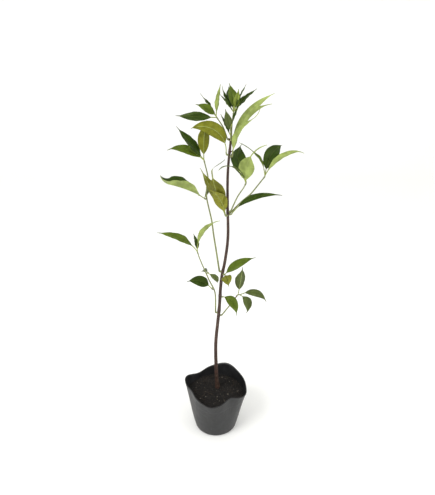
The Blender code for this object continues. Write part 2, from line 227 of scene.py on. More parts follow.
trunkSizes = {
    # height above the base, shift to the right, shift to the back
    "route": ((68, 3, 12), (100, 1, 10), (163, 0, 6), (205, 3, 4), (240, 6, 2), (291, 9, 0),
              (327, 15, 0), (367, 19, 0), (417, 18, 0), (468, 18, 0), (516, 22, 0)),
    "footRadius": 3.2,
    "tipRadius": 1.7,
    "flareRadius": 1.6,
    "flareHeight": 9.0,
    "coarseStations": 44,
    "nodes": (234, 262, 306, 405, 497, 514),
    "nodeSwell": 0.3,
    "nodeHalfLength": 4.0,
    "sides": 56,
    "step": 0.9,
    # depth, detail round the trunk, detail along it
    "ridges": (0.10, 3.1, 0.09),
    "grain": (0.06, 7.0, 0.6),
    "lenticels": 190,
    "lenticelHeight": 0.22,
    "lenticelSize": (0.35, 0.8),
    "lenticelLift": (0.5, 1.0),
    "lenticelReach": 1.6,
    "lenticelSpread": 2.6,
    "lenticelWidth": 0.8,
    "nodeRingHeight": 0.16,
    "nodeRingHalf": 0.45,
    "nodeRingTilt": 0.6,
}

boughSizes = {
    "low_left_bough": Bough(
        "trunk", 230, 190, ((-1, -5, 271), (-10, -8, 295), (-23, -12, 331), (-27, -14, 345)), 1.2, 0.8),
    "long_left_bough": Bough(
        "trunk", 306, 185,
        ((1, 1, 342), (-3, 4, 368), (-6, 8, 390), (-13, 11, 423), (-13, 12, 440), (-11, 12, 455),
         (-16, 12, 479)),
        1.4, 0.9),
    "low_right_bough": Bough("trunk", 225, 355, ((21, -3, 244), (28, -5, 255), (34, -6, 266)), 1.1, 0.9),
    "inner_right_bough": Bough("trunk", 407, 330, ((32, -6, 431), (40, -9, 445), (43, -12, 452)), 1.1, 0.8),
    "outer_right_bough": Bough(
        "trunk", 404, 15, ((38, 4, 420), (52, 8, 431), (63, 11, 444), (72, 14, 455)), 1.2, 0.9),
    "top_left_bough": Bough("trunk", 513, 180, ((11, 2, 530), (3, 4, 542)), 1.0, 0.8),
}
boughLook = {
    "leader": ((22.3, 0, 516.3), (23, 1, 535), (25, 3, 549)),
    "leaderRadii": (1.2, 0.9),
    "coarseStep": 6.0,
    "elbow": 1.5,
    "sunk": 1.2,    # how far a foot runs into the bark that bears it
    "sides": 24,
    "step": 0.8,
    "collar": 0.35,
    "collarLength": 2.5,
    # depth, detail round the shoot, detail along it
    "grain": (0.05, 2.0, 0.35),
}


def coarseTrunk():
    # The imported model's trunk, which bears the boughs and the masses.
    points = [Vector((x, y, z)) for z, x, y in trunkSizes["route"]]
    step = (points[-1].z - points[0].z) / trunkSizes["coarseStations"]
    route = curved(points, step)
    radii = [trunkRadius(p.z) for p in route]
    route[0].z = points[0].z + clearance
    return Limb(route, radii)


def trunkRadius(z):
    foot, top = trunkSizes["route"][0][0], trunkSizes["route"][-1][0]
    share = (z - foot) / (top - foot)
    radius = trunkSizes["footRadius"] + (trunkSizes["tipRadius"] - trunkSizes["footRadius"]) * share
    radius += trunkSizes["flareRadius"] * math.exp(-(z - foot) / trunkSizes["flareHeight"])
    for node in trunkSizes["nodes"]:
        radius += trunkSizes["nodeSwell"] * math.exp(-((z - node) / trunkSizes["nodeHalfLength"]) ** 2)
    return radius


def tapered(route, start, end):
    last = len(route) - 1
    return Limb(route, [start + (end - start) * k / last for k in range(last + 1)])


def placeOn(limb, height, heading):
    # A point just clear of the limb's side, and the way straight out from it there.
    nearest = min(range(len(limb.route) - 1),
                  key=lambda k: abs(limb.route[k].z + limb.route[k + 1].z - 2 * height))
    low, high = limb.route[nearest], limb.route[nearest + 1]
    along = (high - low).normalized()
    share = min(1.0, max(0.0, (height - low.z) / (high.z - low.z)))
    radius = max(limb.radii[max(0, nearest - 1):nearest + 3])
    facing = direction(heading, 0)
    out = (facing - along * facing.dot(along)).normalized()
    return low.lerp(high, share) + out * (radius + clearance), out


def boughRoute(bough, limbs, step):
    foot, out = placeOn(limbs[bough.limb], bough.height, bough.heading)
    elbow = foot + out * bough.radius
    onward = elbow + (out + Vector((0, 0, 0.5))).normalized() * boughLook["elbow"]
    return [foot, elbow] + curved([onward] + [Vector(p) for p in bough.route], step)


def coarseLimbs():
    limbs = {"trunk": coarseTrunk()}
    for name, bough in boughSizes.items():
        route = boughRoute(bough, limbs, boughLook["coarseStep"])
        limbs[name] = tapered(route, bough.radius, bough.tipRadius)
    leader = curved([Vector(p) for p in boughLook["leader"]], boughLook["coarseStep"])
    limbs["top_bough"] = tapered(leader, *boughLook["leaderRadii"])
    return limbs


def grained(turn, z, depth, around, along, salt=0.0):
    # Uneven bark: a height that changes round the limb and along it.
    return depth * noise.noise(Vector((math.cos(turn) * around + salt, math.sin(turn) * around, z * along)))


def makeTrunk(finish):
    chance = random.Random(seed)
    foot, top = trunkSizes["route"][0][0], trunkSizes["route"][-1][0]
    points = [Vector((x, y, z)) for z, x, y in trunkSizes["route"]]
    route = curved(points, trunkSizes["step"])
    spots = []
    for _ in range(trunkSizes["lenticels"]):
        share = chance.random() ** 1.3
        spots.append((foot + share * (top - foot), chance.uniform(0, 2 * math.pi),
                      chance.uniform(*trunkSizes["lenticelSize"]),
                      chance.uniform(*trunkSizes["lenticelLift"])))

    def relief(k, turn, point):
        z = point.z
        height = grained(turn, z, *trunkSizes["ridges"]) + grained(turn, z, *trunkSizes["grain"])
        for spotZ, spotTurn, size, lift in spots:
            if abs(z - spotZ) < trunkSizes["lenticelReach"]:
                sideways = (turn - spotTurn + math.pi) % (2 * math.pi) - math.pi
                sideways *= trunkSizes["lenticelSpread"]
                near = ((z - spotZ) / size) ** 2 + (sideways / (size * trunkSizes["lenticelWidth"])) ** 2
                height += trunkSizes["lenticelHeight"] * lift * math.exp(-near)
        for node in trunkSizes["nodes"]:
            ring = (z - node - trunkSizes["nodeRingTilt"] * math.sin(2 * turn)) / trunkSizes["nodeRingHalf"]
            if abs(ring) < 3:
                height += trunkSizes["nodeRingHeight"] * math.exp(-ring ** 2)
        return height

    rings = tubeRings(route, [trunkRadius(p.z) for p in route], trunkSizes["sides"], relief)
    for point in rings[0]:
        point.z = foot + clearance
    solid("trunk_bark", [p for ring in rings for p in ring], skin(rings), [finish], ["trunk"])


def makeBoughs(finish, limbs):
    for name, bough in boughSizes.items():
        route = boughRoute(bough, limbs, boughLook["step"])
        out = (route[1] - route[0]).normalized()
        route = [route[0] - out * boughLook["sunk"]] + route
        makeShoot(name, tapered(route, bough.radius, bough.tipRadius), finish)
    leader = curved([Vector(p) for p in boughLook["leader"]], boughLook["step"])
    leader = [leader[0] - Vector((0, 0, boughLook["sunk"]))] + leader
    makeShoot("top_bough", tapered(leader, *boughLook["leaderRadii"]), finish)


def shootRelief(salt):
    # Fine grain, and a collar where the shoot leaves its limb.
    def relief(k, turn, point):
        away = k * boughLook["step"]
        collar = boughLook["collar"] * math.exp(-(away / boughLook["collarLength"]) ** 2)
        return grained(turn, point.z, *boughLook["grain"], salt) + collar
    return relief


def makeShoot(name, limb, finish):
    rings = tubeRings(limb.route, limb.radii, boughLook["sides"], shootRelief(len(name)))
    solid(name + "_bark", [p for ring in rings for p in ring], skin(rings), [finish], [name])


# Leaves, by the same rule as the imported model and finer

Leaf = namedtuple(
    "Leaf", "heading rise length width bend swing roll fold curl veer petiole tail top under",
    defaults=(-10, 0, 0, 18, 0, 0, 0.14, 0.12, "dark", "pale"))
Mass = namedtuple("Mass", "limb height heading rise stem radius leaves")

leafSizes = {
    "coarseSteps": 48,
    "curlStart": 0.75,
    "widening": 0.85,
    "fullness": 0.9,
    "waveDepth": (0.2, 0.8),
    "waveTurn": 12.0,
    "petioleSpread": 0.1,
    "petioleWidth": 1.4,
    "tailWidth": 1.9,
    "tipWidth": 0.5,
    "tipStart": 0.8,
    "bluntLength": 0.05,
    "blade": 0.34,
    "margin": 0.14,
    "midribHalfWidth": 0.24,
    "midribWidest": 0.4,
    "midribDepth": 0.5,
    "midribGroove": 0.25,
    "midribEnd": 0.85,
    "stalkEnd": 0.012,
    "roundEnd": 0.06,
    "veins": 8.5,
    "veinSlant": 1.5,
    "quilt": 0.16,
    "camber": 0.06,
    "ripple": 0.35,
    "rippleTurn": 31.0,
    "alongPetiole": 10,
    "along": 64,
    "across": 18,
}

masses = {
    "top_leaves": Mass("top_bough", None, 60, 78, 5, 0.9, (
        Leaf(205, 52, 33, 8, bend=-5, roll=-45),
        Leaf(22, 50, 46, 11, bend=-20, roll=15),
        Leaf(155, 45, 39, 9, bend=35),
        Leaf(30, 62, 40, 8, bend=0, swing=-10),
        Leaf(50, 58, 30, 9, bend=25, roll=30, top="light"),
        Leaf(118, 50, 39, 14, bend=-5, swing=-25, roll=10),
        Leaf(95, 68, 39, 14, bend=-15, swing=30, top="mid"),
    )),
    "fork_leaves": Mass("trunk", 513, 265, 82, 21, 1.0, (
        Leaf(160, 63, 33, 8, bend=0, roll=-15),
        Leaf(175, 76, 32, 11, bend=0, roll=-75, top="greyShadeSheen"),
        Leaf(15, 72, 48, 7, bend=-10),
    )),
    "top_left_leaves": Mass("top_left_bough", None, 150, 60, 4, 0.8, (
        Leaf(172, 0, 61, 14, bend=0, swing=-15, roll=-60),
        Leaf(143, 50, 41, 8, bend=-5, swing=10, roll=5),
        Leaf(197, 48, 36, 12, bend=-36, swing=10, roll=-75, top="mid"),
        Leaf(0, 86, 43, 8, bend=-8, roll=-50),
    )),
    "upper_left_leaf": Mass("trunk", 492, 195, 70, 5, 1.1, (
        Leaf(202, 92, 73, 20, bend=-116, swing=-20, roll=85, fold=10, petiole=0.18, tail=0.04,
             under="shadedOlive"),
    )),
    "upper_right_leaves": Mass("trunk", 490, 345, 70, 6, 1.4, (
        Leaf(318, 84, 86, 14, bend=-64, swing=30, roll=-25, fold=42, curl=70, tail=0.3),
        Leaf(40, 84, 107, 12, bend=-60, swing=-50, roll=-100, tail=0.06),
        Leaf(47, 88, 98, 10, bend=-83, swing=-40, roll=-100),
    )),
    "high_left_leaves": Mass("long_left_bough", None, 150, 75, 4, 0.9, (
        Leaf(160, 42, 60, 14, bend=-48, swing=55, roll=-60, curl=-15, top="mid"),
        Leaf(167, 50, 62, 17, bend=-2, roll=-30),
        Leaf(268, 88, 62, 18, bend=-32, swing=30, under="shadedOlive"),
    )),
    "left_node_leaves": Mass("long_left_bough", 423, 200, 45, 3, 0.9, (
        Leaf(212, 39, 82, 32, bend=-31, swing=-28, fold=54, curl=74, tail=-0.06),
        Leaf(75, 32, 33, 7, bend=-15, roll=60, top="greyShadeSheen"),
    )),
    "whorl_left_leaves": Mass("trunk", 401, 225, 60, 6, 1.5, (
        Leaf(252, 66, 70, 19, bend=-34, swing=-24, roll=40, fold=12, under="yellow"),
        Leaf(200, 64, 85, 17, bend=-3, swing=7, roll=45, under="shadedOlive"),
        Leaf(233, 60, 126, 24, bend=-14, swing=44, roll=15, curl=-25, veer=150, tail=0.42,
             under="brownish"),
    )),
    "whorl_right_leaf": Mass("trunk", 402, 345, 25, 4, 1.1, (
        Leaf(337, 57, 87, 10, bend=-64, swing=13, roll=60, fold=30, petiole=0.22),
    )),
    "inner_right_leaves": Mass("inner_right_bough", None, 320, 75, 4, 0.9, (
        Leaf(183, 76, 66, 8, bend=-98, swing=61, roll=-30, tail=0.5, top="greyShadeSheen"),
        Leaf(150, 66, 69, 24, bend=-44, swing=-98, roll=-5),
        Leaf(318, 103, 73, 24, bend=-87, swing=6, roll=-60, petiole=0.05, tail=0.48),
    )),
    "outer_right_leaves": Mass("outer_right_bough", None, 60, 65, 4, 0.9, (
        Leaf(200, 86, 68, 10, bend=-76, swing=-60, roll=-15, tail=0.4, top="mid"),
        Leaf(15, 64, 72, 10, bend=-58, swing=-48, roll=-70, fold=30, curl=-30),
        Leaf(62, 75, 61, 22, bend=-70, swing=-20, roll=35, tail=0.06),
    )),
    "middle_leaves": Mass("trunk", 303, 315, 30, 3, 1.3, (
        Leaf(288, 6, 36, 17, bend=-20, swing=-17, roll=20, top="shadedOlive"),
        Leaf(5, 50, 57, 14, bend=-46, swing=8, roll=50, petiole=0.08, top="mid"),
    )),
    "low_trunk_leaf": Mass("trunk", 261, 340, 20, 3, 1.1, (
        Leaf(338, 0, 44, 16, bend=-48, swing=-75, roll=35, petiole=0.06, top="mid"),
    )),
    "low_right_leaves": Mass("low_right_bough", None, 345, 22, 8, 0.9, (
        Leaf(292, 72, 57, 18, bend=10, swing=11, roll=-15, fold=25, petiole=0.24, under="greyShadeSheen"),
        Leaf(342, -20, 42, 14, bend=-5, swing=-115, roll=20, top="greyShadeSheen"),
        Leaf(4, 26, 50, 12, bend=-95, roll=60, top="greyShadeSheen"),
    )),
    "low_left_leaf": Mass("low_left_bough", 281, 200, 35, 3, 0.9, (
        Leaf(192, 54, 46, 18, bend=-60, swing=14, roll=-60),
    )),
    "left_middle_leaves": Mass("low_left_bough", 308, 350, 20, 3, 0.9, (
        Leaf(346, -20, 35, 9, bend=30, swing=-96, roll=30, top="greyShadeSheen"),
        Leaf(108, -8, 48, 9, bend=-35, roll=-33),
    )),
    "low_left_leaves": Mass("low_left_bough", None, 180, 80, 3, 0.8, (
        Leaf(95, 42, 34, 8, bend=-13, swing=20, roll=20),
        Leaf(215, 60, 74, 13, bend=-64, swing=-55, roll=-35, petiole=0.22, top="mid"),
        Leaf(20, 90, 73, 11, bend=-73, swing=-70, roll=-45, petiole=0.2, tail=0.25),
    )),
}

leafColours = {
    "dark": (0.020, 0.042, 0.003),
    "mid": (0.070, 0.105, 0.010),
    "light": (0.190, 0.240, 0.040),
    # The olive tone is painted shade: the leaf green darkened the way a side, mostly an underside, shows in
    # shade.
    "shadedOlive": (0.150, 0.155, 0.014),
    # The grey tone paints light: a greyed green between the dark upper side and the pale underside, for
    # sides dulled by shade and greyed by sheen.
    "greyShadeSheen": (0.070, 0.090, 0.028),
    "pale": (0.270, 0.330, 0.095),
    "yellow": (0.200, 0.200, 0.022),
    "brownish": (0.140, 0.140, 0.012),
    "stalk": (0.260, 0.300, 0.080),
    "rib": (0.070, 0.100, 0.014),
    "ribUnder": (0.330, 0.390, 0.130),
}
# roughness, where it isn't that of a dull underside
leafGloss = {"dark": 0.30, "mid": 0.32, "light": 0.36, "shadedOlive": 0.38, "greyShadeSheen": 0.34}
dullRoughness = 0.46


def massStem(mass, limbs):
    limb = limbs[mass.limb]
    lean = direction(mass.heading, mass.rise)
    if mass.height is None:
        out = (limb.route[-1] - limb.route[-2]).normalized()
        foot = limb.route[-1] + out * clearance
    else:
        foot, out = placeOn(limb, mass.height, mass.heading)
    elbow = foot + out * mass.radius
    onward = elbow + (out + lean).normalized() * 0.8
    return [foot, elbow] + curved([onward, elbow + lean * (mass.stem - mass.radius)], 1.5)


def leafRoots(mass, route):
    last = len(mass.leaves) - 1
    for k, leaf in enumerate(mass.leaves):
        share = 0.9 if last == 0 else 0.4 + 0.5 * k / last
        place = share * (len(route) - 1)
        low = min(int(place), len(route) - 2)
        yield k, leaf, route[low].lerp(route[low + 1], place - low)


def leafAxes(leaf, t):
    # Direction, upper side and right side at shares t of the length, as arrays.
    late = np.clip((t - leafSizes["curlStart"]) / (1 - leafSizes["curlStart"]), 0, None)
    heading = np.radians(leaf.heading + leaf.swing * t + leaf.veer * late)
    rise = np.radians(leaf.rise + leaf.bend * t + leaf.curl * late)
    roll = math.radians(leaf.roll)
    along = np.stack([np.cos(rise) * np.cos(heading), np.cos(rise) * np.sin(heading), np.sin(rise)], -1)
    upper = np.stack([-np.sin(rise) * np.cos(heading), -np.sin(rise) * np.sin(heading), np.cos(rise)], -1)
    right = np.cross(along, upper)
    return (along, upper * math.cos(roll) + right * math.sin(roll),
            right * math.cos(roll) - upper * math.sin(roll))


def leafRoute(root, leaf, t):
    # Points of the midrib at shares t of the length, on a smooth curve through the coarse steps.
    steps = leafSizes["coarseSteps"]
    coarse = np.arange(steps + 1) / steps
    along = leafAxes(leaf, coarse)[0] * leaf.length / steps
    places = np.array(root) + np.concatenate([np.zeros((1, 3)), np.cumsum(along[:-1], 0)])
    padded = np.concatenate([[2 * places[0] - places[1]], places, [2 * places[-1] - places[-2]]])
    low = np.minimum((t * steps).astype(int), steps - 1)
    f = (t * steps - low)[:, None]
    before, start, end, after = (padded[low + k] for k in range(4))
    return 0.5 * (2 * start + (end - before) * f + (2 * before - 5 * start + 4 * end - after) * f ** 2
                  + (3 * start - before - 3 * end + after) * f ** 3)


def leafMesh(root, leaf, chance):
    # Points of one closed leaf, ring after ring: over the upper side, and back under it.
    size = leafSizes
    petiole = leaf.petiole * chance.uniform(1 - size["petioleSpread"], 1 + size["petioleSpread"])
    waveDepth = chance.uniform(*size["waveDepth"])
    waveStart = chance.uniform(0, 2 * math.pi)
    rippleStart = chance.uniform(0, 2 * math.pi)
    veinShift = chance.uniform(0, 1)
    half = size["across"] // 2
    stalk = np.linspace(0, petiole, size["alongPetiole"], endpoint=False)
    t = np.concatenate([stalk, petiole + (1 - petiole) * np.linspace(0, 1, size["along"]) ** 0.92])
    blade = np.clip((t - petiole) / (1 - petiole), 0, 1)
    end = 1 - leaf.tail
    open_ = np.clip(blade / end, 0, 1)
    share = np.clip(np.sin(math.pi * open_ ** size["widening"]), 0, 1) ** size["fullness"]
    late = np.clip((blade - size["tipStart"]) / (1 - size["tipStart"]), 0, 1) ** 1.5
    narrow = size["petioleWidth"] + (size["tailWidth"] - size["petioleWidth"]) * blade
    narrow = narrow + (size["tipWidth"] - size["tailWidth"]) * late
    halfWidth = np.sqrt(narrow ** 2 + (leaf.width * share) ** 2) / 2
    if leaf.tail < 0:    # a blunt tip is drawn in to a short point
        halfWidth = halfWidth * np.clip((1 - blade) / size["bluntLength"], 0.08, 1) ** 0.5
    lift = math.radians(leaf.fold) * share
    place = leafRoute(root, leaf, t)
    along, upper, right = leafAxes(leaf, t)

    # Places across: the midrib's strip has its own width, the rest is shared out.
    strip = np.minimum(size["midribHalfWidth"] / halfWidth, size["midribWidest"])
    steps = np.abs(np.arange(-half, half + 1))
    u = np.where(steps[None] <= 1, steps[None] * strip[:, None],
                 strip[:, None] + (1 - strip[:, None]) * (steps[None] - 1) / (half - 1))
    u = u * np.sign(np.arange(-half, half + 1))[None]
    side = np.abs(u)

    # Waved edges, a quilt between the side veins, and a slight arch on each side of the midrib.
    wave = waveDepth * share * np.sin(waveStart + size["waveTurn"] * blade)
    ripple = size["ripple"] * share * np.sin(rippleStart + size["rippleTurn"] * blade)
    phase = size["veins"] * blade[:, None] - size["veinSlant"] * side + veinShift
    quilt = size["quilt"] * share[:, None] * (np.abs(np.sin(math.pi * phase)) ** 0.6 - 0.5)
    quilt = quilt * np.clip(side * 6, 0, 1) * (1 - side ** 4)
    camber = size["camber"] * (halfWidth * share)[:, None] * (side - side ** 2) * 4
    rise = ((halfWidth * np.sin(lift))[:, None] * side - u * np.abs(u) ** 0.4 * wave[:, None]
            + side ** 3 * ripple[:, None] + quilt + camber)
    out = (halfWidth * np.cos(lift))[:, None] * u

    # Thickness: a round stalk that flattens into the blade, with the rib raised underneath.
    roundness = np.clip(1 - blade / size["roundEnd"], 0, 1)[:, None] ** 1.5
    pipe = np.sqrt(np.clip(1 - u ** 2, 0, 1)) * halfWidth[:, None]
    flat = (size["margin"] + (size["blade"] - size["margin"]) * (1 - side ** 4)) / 2
    flat = np.minimum(flat, halfWidth[:, None] * 0.6)
    fromRib = side * halfWidth[:, None] / size["midribHalfWidth"]
    rib = np.exp(-fromRib ** 2)
    ribSize = (share * (1 - 0.8 * blade))[:, None] * size["midribDepth"]
    above = pipe * roundness + (flat - size["midribGroove"] * rib * ribSize) * (1 - roundness)
    below = pipe * roundness + (flat + rib * ribSize) * (1 - roundness)
    middle = place[:, None] + right[:, None] * out[..., None]
    top = middle + upper[:, None] * (rise + above)[..., None]
    under = middle + upper[:, None] * (rise - below)[..., None]
    return np.concatenate([top, under[:, ::-1]], 1), blade


def leafFaces(rings, blade, start, finishIndex):
    # Faces of one leaf, and which finish each one wears.
    stations, count = rings.shape[:2]
    across = leafSizes["across"]
    half = across // 2
    faces = [tuple(start + i for i in reversed(range(count)))]
    worn = [finishIndex["stalk"]]
    for k in range(stations - 1):
        low, high = start + k * count, start + (k + 1) * count
        stalk = blade[k + 1] <= leafSizes["stalkEnd"]
        for i in range(count):
            j = (i + 1) % count
            faces.append((low + i, low + j, high + j, high + i))
            onTop = i <= across
            middle = i in (half - 1, half) or i in (across + half, across + half + 1)
            if stalk:
                worn.append(finishIndex["stalk"])
            elif middle and blade[k] < leafSizes["midribEnd"]:
                worn.append(finishIndex["rib" if onTop else "ribUnder"])
            else:
                worn.append(finishIndex["top" if onTop else "under"])
    faces.append(tuple(range(start + (stations - 1) * count, start + stations * count)))
    worn.append(finishIndex["top"])
    return faces, worn


def makeLeaves(finishes, limbs):
    for number, (name, mass) in enumerate(masses.items()):
        route = massStem(mass, limbs)
        points, faces, worn, used = [], [], [], ["stalk", "rib", "ribUnder"]
        for k, leaf, root in leafRoots(mass, route):
            chance = random.Random(seed + 100 * number + k)
            for tone in (leaf.top, leaf.under):
                if tone not in used:
                    used.append(tone)
            index = {"stalk": 0, "rib": 1, "ribUnder": 2,
                     "top": used.index(leaf.top), "under": used.index(leaf.under)}
            rings, blade = leafMesh(root, leaf, chance)
            newFaces, newWorn = leafFaces(rings, blade, len(points), index)
            points += rings.reshape(-1, 3).tolist()
            faces += newFaces
            worn += newWorn
        shades = [finishes[tone] for tone in used]
        solid(name + "_blades", points, faces, shades, [name], worn)


twigSizes = {
    "step": 0.6,
    "sides": 18,
    # shares of the stem's own radius
    "tipRadius": 0.8,
    "capLength": 0.9,
    "capRadius": 0.25,
}


def makeTwigs(finish, limbs):
    # The short stems that the leaves grow from, all in one piece.
    points, faces = [], []
    for mass in masses.values():
        route = curved(massStem(mass, limbs), twigSizes["step"])
        out = (route[1] - route[0]).normalized()
        route = [route[0] - out * boughLook["sunk"]] + route
        limb = tapered(route, mass.radius, mass.radius * twigSizes["tipRadius"])
        tip = route[-1] + (route[-1] - route[-2]).normalized() * mass.radius * twigSizes["capLength"]
        limb = Limb(limb.route + [tip], limb.radii + [mass.radius * twigSizes["capRadius"]])
        rings = tubeRings(limb.route, limb.radii, twigSizes["sides"], shootRelief(len(points)))
        faces += skin(rings, len(points))
        points += [p for ring in rings for p in ring]
    solid("leaf_twigs", points, faces, [finish])


# Pot and soil

potSizes = {
    "height": 85.0,
    "rimRadius": 52.5,
    "baseRadius": 37.0,
    "corner": 4.5,
    "wall": 1.0,
    "lip": 1.0,
    "lipLevel": 0.97,
    "flarePower": 0.85,
    "drainHoles": 6,
    "drainRadius": 3.0,
    "drainRing": 26.0,
    "drainSides": 32,
    "drillReach": 3.0,
    # heading, half spread, outward shift and upward shift of the rim
    "dents": ((67, 24, 2.0, 8.0), (127, 18, -1.0, -6.5), (163, 15, 4.5, 2.5), (208, 20, -5.5, 3.0),
              (262, 19, 3.0, -5.0), (300, 14, -4.0, 4.0), (336, 18, 4.0, -3.0)),
    "sides": 240,
    "levels": 84,
    "cornerRings": 6,
    "lipRings": 6,
    "lipBulge": 0.9,
    "crinkle": 0.5,
    "stepLevel": 0.77,
    "stepDepth": 0.25,
}


def dent(heading):
    outward = upward = 0.0
    for centre, spread, out, up in potSizes["dents"]:
        away = (heading - centre + 180) % 360 - 180
        weight = math.exp(-(away / spread) ** 2)
        outward += out * weight
        upward += up * weight
    return outward, upward


def wallPoint(heading, level, inset):
    outward, upward = dent(heading)
    give = level ** 2
    base, rim, corner = potSizes["baseRadius"], potSizes["rimRadius"], potSizes["corner"]
    height = corner + (potSizes["height"] + upward * give - corner) * level
    radius = base + (rim - base) * level ** potSizes["flarePower"] + outward * give
    return direction(heading, 0) * (radius - inset) + Vector((0, 0, height))


def crinkled(heading, level, inset):
    # The wall with the soft film's crinkles, which pass through it from face to face.
    point = wallPoint(heading, level, inset)
    way = direction(heading, 0)
    broad = noise.noise(Vector((way.x * 4.2, way.y * 4.2, level * 3.4)))
    fine = abs(noise.noise(Vector((way.x * 9 + 5, way.y * 9, level * 8))))
    depth = potSizes["crinkle"] * level * (0.8 * broad - fine)
    step = potSizes["stepDepth"] * (1 if level < potSizes["stepLevel"] else 0)
    return point + way * min(0.0, depth - step * level)


def makePot(finish):
    sides, levels, lipLevel = potSizes["sides"], potSizes["levels"], potSizes["lipLevel"]
    base, corner, wall, lip = potSizes["baseRadius"], potSizes["corner"], potSizes["wall"], potSizes["lip"]
    headings = [360 * i / sides for i in range(sides)]

    def ring(level, inset):
        return [crinkled(h, level, inset) for h in headings]

    rings = [[direction(h, 0) * (base - corner) for h in headings]]
    for k in range(1, potSizes["cornerRings"]):
        turn = math.pi / 2 * k / potSizes["cornerRings"]
        rings.append([direction(h, 0) * (base - corner + corner * math.sin(turn))
                      + Vector((0, 0, corner * (1 - math.cos(turn)))) for h in headings])
    up = [k / levels for k in range(levels + 1) if k / levels < lipLevel]
    rings += [ring(level, 0.0) for level in up]
    for k in range(potSizes["lipRings"] + 1):    # the rolled lip
        share = k / potSizes["lipRings"]
        level = lipLevel + (1 - lipLevel) * (1 - math.cos(math.pi * share)) / 2
        rings.append(ring(level, wall * share - lip * math.sin(math.pi * share) * potSizes["lipBulge"]))
    rings += [ring(level, wall) for level in reversed(up)]
    rings.append([direction(h, 0) * (base - corner) + Vector((0, 0, wall)) for h in headings])
    points = [p for r in rings for p in r]
    drilled(solid("pot_film", points, skin(rings), [finish], ["pot"]))


def drilled(body):
    # Cuts the ring of drain holes through the pot's floor.
    drills = bpy.data.collections.new("drills")
    bpy.context.scene.collection.children.link(drills)
    reach = potSizes["drillReach"]
    turns = [360 * i / potSizes["drainSides"] for i in range(potSizes["drainSides"])]
    for k in range(potSizes["drainHoles"]):
        spot = direction(360 * k / potSizes["drainHoles"], 0) * potSizes["drainRing"]
        rings = [[spot + direction(turn, 0) * potSizes["drainRadius"] + Vector((0, 0, z))
                  for turn in turns] for z in (-reach, reach)]
        mesh = bpy.data.meshes.new("drill")
        mesh.from_pydata([tuple(c * mm for c in p) for r in rings for p in r], [], skin(rings))
        drills.objects.link(bpy.data.objects.new("drill", mesh))
    cut = body.modifiers.new("drains", "BOOLEAN")
    cut.operation = "DIFFERENCE"
    cut.operand_type = "COLLECTION"
    cut.collection = drills
    cut.solver = "EXACT"
    cutBody = body.evaluated_get(bpy.context.evaluated_depsgraph_get())
    cutMesh = bpy.data.meshes.new_from_object(cutBody)
    body.modifiers.clear()
    body.data = cutMesh
    for drill in list(drills.objects):
        bpy.data.objects.remove(drill, do_unlink=True)
    bpy.data.collections.remove(drills)


soilSizes = {
    "top": 68.0,
    "sides": 240,
    "rings": 90,
    "collar": 8.0,
    "lumps": 1.3,
    "crumbs": 0.7,
    "wallGap": 0.2,
    "wallLevels": (0.02, 0.2, 0.4, 0.6, 0.68),
    "trunkHole": 2.0,
    "grainGap": 4.6,    # loose grains keep this far from the trunk's middle
    "grainReach": 0.975,
    "grains": 3600,
    "grainRadius": (0.35, 1.5),
    "chips": 60,
    "chipRadius": (0.5, 1.3),
    "fibres": 46,
    "fibreRadius": (0.12, 0.28),
    "fibrePoints": (8, 16),
    "fibreStep": 1.1,
    "fibreTurn": 26,
    "fibreLift": (0.1, 0.7),
    "fibreReach": 0.86,
}


def soilHeight(x, y):
    lumps = noise.noise(Vector((x * 0.09, y * 0.09, 3.0))) * soilSizes["lumps"]
    crumbs = noise.noise(Vector((x * 0.45, y * 0.45, 7.0))) * soilSizes["crumbs"]
    fine = noise.noise(Vector((x * 1.3, y * 1.3, 11.0))) * soilSizes["crumbs"] * 0.5
    foot = trunkSizes["route"][0]
    away = math.hypot(x - foot[1], y - foot[2])
    ease = min(1.0, away / soilSizes["collar"])
    return soilSizes["top"] + (lumps + crumbs + fine) * ease


def soilRim(heading):
    level = (soilSizes["top"] - potSizes["corner"]) / (
        potSizes["height"] + dent(heading)[1] * 0.6 - potSizes["corner"])
    return crinkled(heading, level, potSizes["wall"] + soilSizes["wallGap"])


def makeSoil(finish):
    headings = [360 * i / soilSizes["sides"] for i in range(soilSizes["sides"])]
    inner = potSizes["baseRadius"] - potSizes["corner"] - clearance
    floor = potSizes["wall"] + clearance
    rings = [[direction(h, 0) * inner + Vector((0, 0, floor)) for h in headings]]
    for level in soilSizes["wallLevels"]:
        rings.append([crinkled(h, level, potSizes["wall"] + clearance) for h in headings])
    foot = Vector((trunkSizes["route"][0][1], trunkSizes["route"][0][2], 0))
    rim = [soilRim(h) for h in headings]
    for k in range(soilSizes["rings"] + 1):
        share = k / soilSizes["rings"]
        ring = []
        for h, edge in zip(headings, rim):
            inside = foot + direction(h, 0) * soilSizes["trunkHole"]
            spot = edge.lerp(inside, share)
            ring.append(Vector((spot.x, spot.y, soilHeight(spot.x, spot.y))))
        rings.append(ring)
    solid("soil_bed", [p for r in rings for p in r], skin(rings), [finish], ["soil"])


def lumpPoints(centre, radius, chance):
    # A rough lump on the twelve corners of an icosahedron.
    g = (1 + 5 ** 0.5) / 2
    corners = [(-1, g, 0), (1, g, 0), (-1, -g, 0), (1, -g, 0), (0, -1, g), (0, 1, g),
               (0, -1, -g), (0, 1, -g), (g, 0, -1), (g, 0, 1), (-g, 0, -1), (-g, 0, 1)]
    stretch = Vector((chance.uniform(0.7, 1.3), chance.uniform(0.7, 1.3), chance.uniform(0.5, 0.95)))
    turn = chance.uniform(0, math.pi)
    points = []
    for corner in corners:
        p = Vector(corner).normalized() * radius * chance.uniform(0.78, 1.15)
        p = Vector((p.x * stretch.x, p.y * stretch.y, p.z * stretch.z))
        points.append(centre + Vector((p.x * math.cos(turn) - p.y * math.sin(turn),
                                       p.x * math.sin(turn) + p.y * math.cos(turn), p.z)))
    return points


